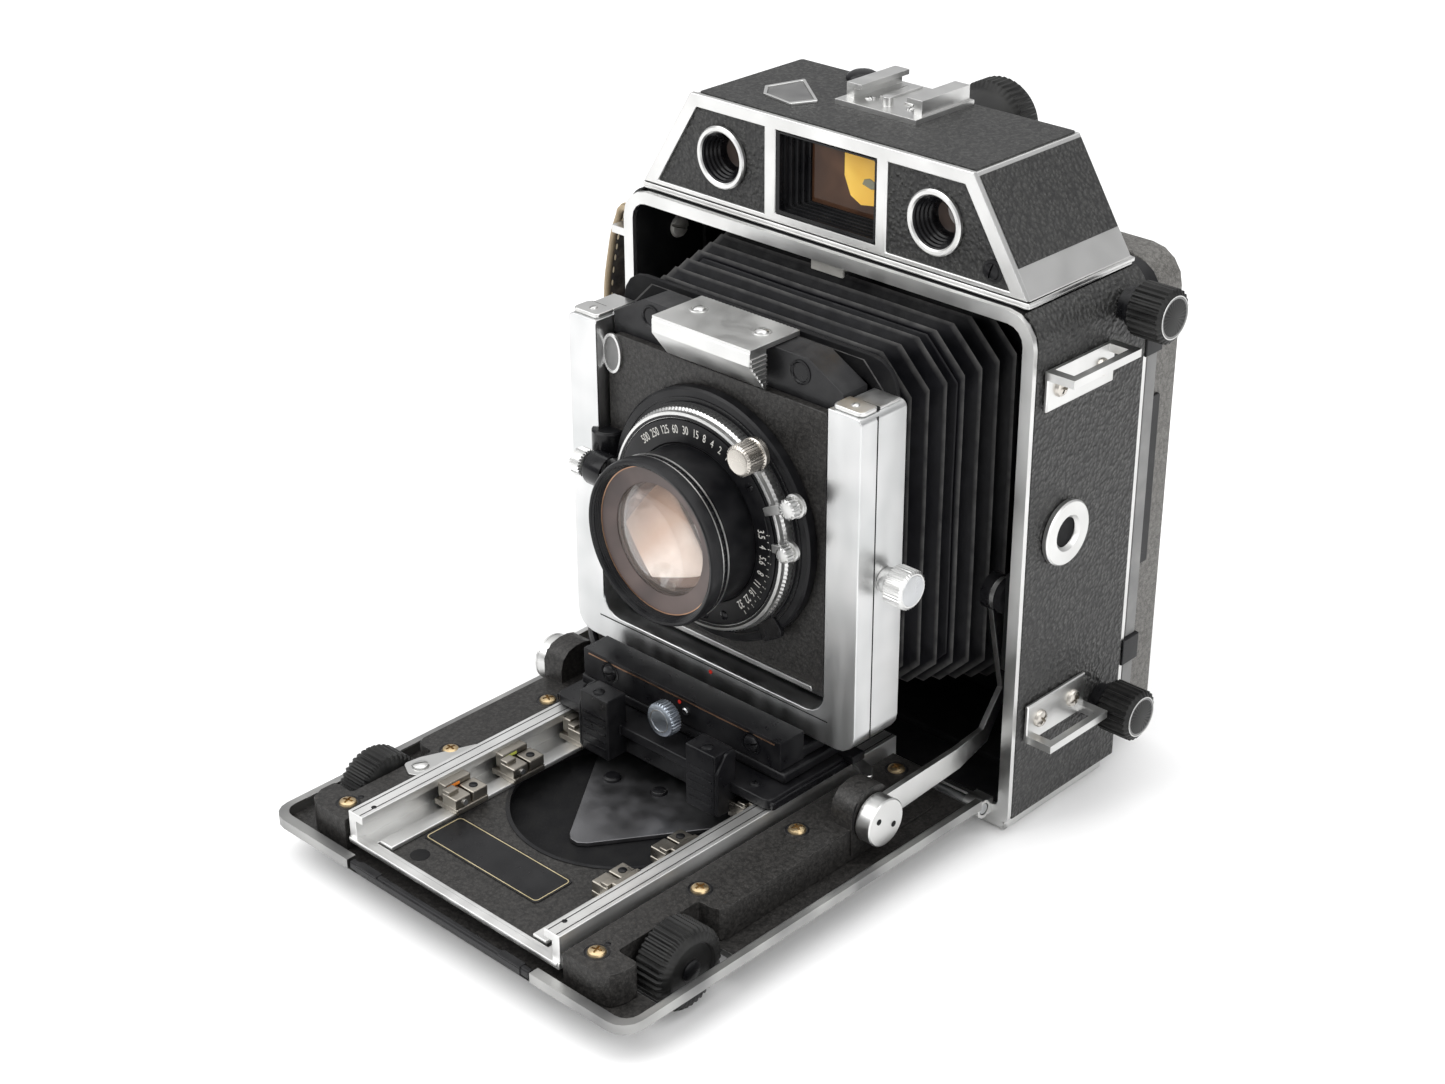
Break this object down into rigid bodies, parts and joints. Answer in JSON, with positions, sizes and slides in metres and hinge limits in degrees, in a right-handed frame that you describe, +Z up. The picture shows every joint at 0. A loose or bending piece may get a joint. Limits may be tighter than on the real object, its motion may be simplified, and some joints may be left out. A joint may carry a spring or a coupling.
{
  "type": "folding camera",
  "caption": "Folding bed camera with rangefinder housing, bellows, drop bed, focusing rails and a front standard that shifts, swings, tilts and rises.",
  "frame": {"origin": "middle of the base plate's lower face, which the camera stands on", "axes": "+Z up, the lens looks along -Y, +X to the right of someone who faces the lens"},
  "size_m": [0.174, 0.2075, 0.1856],
  "materials": {
    "aluminium": "brushed",
    "bellows_cloth": "coated black cloth",
    "black_metal": "semi-gloss black paint on alloy",
    "finder_glass": "amber coated",
    "frosted_glass": "ground",
    "hammertone": "brown-grey hammertone paint on alloy",
    "leatherette": "pebble grain, black",
    "lens_glass": "coated",
    "satin_chrome": "satin",
    "steel": "satin",
    "strap_leather": "worn black with beige stitching"
  },
  "bodies": {
    "camera_body": {"base_plate": "satin_chrome", "body_shell": "black_metal", "front_bezel": "satin_chrome", "hinge_pin": "steel", "side_leather_left": "leatherette", "side_leather_right": "leatherette", "door_catch": "satin_chrome", "side_tripod_bush": "satin_chrome", "strap_bracket_upper_left": "satin_chrome", "strap_bracket_upper_right": "satin_chrome", "strap_bracket_lower_left": "satin_chrome", "strap_bracket_lower_right": "satin_chrome", "rangefinder_housing": "leatherette", "rangefinder_front_plate": "satin_chrome", "rangefinder_window_left": "satin_chrome", "rangefinder_window_right": "satin_chrome", "viewfinder_frame": "black_metal", "viewfinder_glass": "finder_glass", "eyepiece": "black_metal", "accessory_shoe": "satin_chrome", "hand_strap": "strap_leather", "bellows": "bellows_cloth", "strut_guide_left": "black_metal", "strut_guide_right": "black_metal"},
    "back": {"back_frame": "black_metal", "ground_glass": "frosted_glass"},
    "hood": {"focusing_hood": "hammertone"},
    "bed": {"bed_tray": "aluminium", "bed_tripod_plate": "satin_chrome", "bed_cover_left": "hammertone", "bed_cover_right": "hammertone"},
    "bed_latch": {"bed_latch": "black_metal"},
    "strut_left": {"strut_left": "satin_chrome"},
    "strut_right": {"strut_right": "satin_chrome"},
    "cam": {"rangefinder_cam": "steel"},
    "focus_drive": {"focus_shaft": "steel", "focus_knob_left": "black_metal", "focus_knob_right": "black_metal"},
    "focus_platform": {"focusing_rails": "aluminium", "platform_plate": "hammertone"},
    "carriage": {"carriage": "black_metal"},
    "carriage_thumbscrew": {"carriage_thumbscrew": "satin_chrome"},
    "shift_base": {"shift_base": "black_metal"},
    "swing_base": {"swing_base": "black_metal"},
    "standard": {"standard_frame": "satin_chrome"},
    "rise_knob": {"rise_knob": "satin_chrome"},
    "lens_panel": {"lens_frame": "black_metal", "lens_board": "hammertone", "shutter": "black_metal", "lens_barrel": "black_metal", "front_glass": "lens_glass"},
    "board_latch": {"board_latch": "satin_chrome"},
    "speed_ring": {"speed_ring": "satin_chrome"},
    "aperture_lever": {"aperture_lever": "satin_chrome"},
    "cocking_lever": {"cocking_lever": "satin_chrome"},
    "release_plunger": {"release_plunger": "satin_chrome"},
    "back_knob_upper_left": {"back_knob_upper_left": "black_metal"},
    "back_knob_upper_right": {"back_knob_upper_right": "black_metal"},
    "back_knob_lower_left": {"back_knob_lower_left": "black_metal"},
    "back_knob_lower_right": {"back_knob_lower_right": "black_metal"}
  },
  "joints": [
    {"name": "bed_drop", "type": "hinge", "parent": "camera_body", "child": "bed", "pos_m": [0, -0.0268, 0.0082], "axis": [1, 0, 0], "range_deg": [0, 15], "deforming": ["bellows"]},
    {"name": "strut_left_turn", "type": "hinge", "parent": "bed", "child": "strut_left", "pos_m": [-0.058, -0.0645, 0.021], "axis": [1, 0, 0], "range_deg": [-17.6, 0.1]},
    {"name": "strut_right_turn", "type": "hinge", "parent": "bed", "child": "strut_right", "pos_m": [0.058, -0.0645, 0.021], "axis": [1, 0, 0], "range_deg": [-17.6, 0.1]},
    {"name": "bed_latch_press", "type": "slide", "parent": "bed", "child": "bed_latch", "axis": [0, 1, 0], "range_m": [0, 0.0018], "stiffness_N_per_m": 600},
    {"name": "focus_turn", "type": "hinge", "parent": "bed", "child": "focus_drive", "pos_m": [0, -0.134, 0.0117], "axis": [1, 0, 0], "range_deg": [0, 286]},
    {"name": "focus_slide", "type": "slide", "parent": "bed", "child": "focus_platform", "axis": [0, -1, 0], "range_m": [-0.0001, 0.0151], "deforming": ["bellows"]},
    {"name": "cam_turn", "type": "hinge", "parent": "bed", "child": "cam", "pos_m": [0, -0.084, 0.009], "axis": [0, 0, 1], "range_deg": [-0.1, 5.1]},
    {"name": "carriage_slide", "type": "slide", "parent": "focus_platform", "child": "carriage", "axis": [0, -1, 0], "range_m": [-0.016, 0], "deforming": ["bellows"]},
    {"name": "carriage_thumbscrew_turn", "type": "hinge", "parent": "carriage", "child": "carriage_thumbscrew", "pos_m": [0, -0.0814, 0.0336], "axis": [0, 1, 0], "continuous": true},
    {"name": "shift", "type": "slide", "parent": "carriage", "child": "shift_base", "axis": [1, 0, 0], "range_m": [-0.008, 0.008], "deforming": ["bellows"]},
    {"name": "swing", "type": "hinge", "parent": "shift_base", "child": "swing_base", "pos_m": [0, -0.058, 0.0303], "axis": [0, 0, 1], "range_deg": [-8, 8], "deforming": ["bellows"]},
    {"name": "tilt", "type": "hinge", "parent": "swing_base", "child": "standard", "pos_m": [0, -0.0556, 0.0393], "axis": [1, 0, 0], "range_deg": [-6, 6], "deforming": ["bellows"]},
    {"name": "rise_clamp_turn", "type": "hinge", "parent": "standard", "child": "rise_knob", "pos_m": [0.056, -0.054, 0.0834], "axis": [1, 0, 0], "range_deg": [0, 120]},
    {"name": "rise", "type": "slide", "parent": "standard", "child": "lens_panel", "axis": [0, 0, 1], "range_m": [0, 0.02], "deforming": ["bellows"]},
    {"name": "board_latch_lift", "type": "slide", "parent": "lens_panel", "child": "board_latch", "axis": [0, 0, 1], "range_m": [0, 0.003]},
    {"name": "speed_turn", "type": "hinge", "parent": "lens_panel", "child": "speed_ring", "pos_m": [0, -0.067, 0.087], "axis": [0, -1, 0], "range_deg": [0, 108]},
    {"name": "aperture_turn", "type": "hinge", "parent": "lens_panel", "child": "aperture_lever", "pos_m": [0, -0.071, 0.087], "axis": [0, -1, 0], "range_deg": [-35, 8]},
    {"name": "cocking_turn", "type": "hinge", "parent": "lens_panel", "child": "cocking_lever", "pos_m": [0, -0.071, 0.087], "axis": [0, -1, 0], "range_deg": [0, 12]},
    {"name": "release_press", "type": "slide", "parent": "lens_panel", "child": "release_plunger", "axis": [1, 0, 0], "range_m": [0, 0.0025], "stiffness_N_per_m": 400},
    {"name": "back_pull", "type": "slide", "parent": "camera_body", "child": "back", "axis": [0, 1, 0], "range_m": [0, 0.01]},
    {"name": "hood_open", "type": "hinge", "parent": "back", "child": "hood", "pos_m": [-0.0675, 0.034, 0.087], "axis": [0, 0, 1], "range_deg": [0, 95]},
    {"name": "back_knob_upper_left_turn", "type": "hinge", "parent": "camera_body", "child": "back_knob_upper_left", "pos_m": [-0.0795, 0.0136, 0.143], "axis": [1, 0, 0], "continuous": true},
    {"name": "back_knob_upper_right_turn", "type": "hinge", "parent": "camera_body", "child": "back_knob_upper_right", "pos_m": [0.0795, 0.0136, 0.143], "axis": [1, 0, 0], "continuous": true},
    {"name": "back_knob_lower_left_turn", "type": "hinge", "parent": "camera_body", "child": "back_knob_lower_left", "pos_m": [-0.0795, 0.0136, 0.0276], "axis": [1, 0, 0], "continuous": true},
    {"name": "back_knob_lower_right_turn", "type": "hinge", "parent": "camera_body", "child": "back_knob_lower_right", "pos_m": [0.0795, 0.0136, 0.0276], "axis": [1, 0, 0], "continuous": true}
  ],
  "couplings": [
    {"joint": "strut_left_turn", "follows": "bed_drop", "ratio": -1.165},
    {"joint": "strut_right_turn", "follows": "bed_drop", "ratio": -1.165},
    {"joint": "focus_slide", "follows": "focus_turn", "m_per_rad": 0.003},
    {"joint": "cam_turn", "follows": "focus_turn", "ratio": 0.0175}
  ]
}
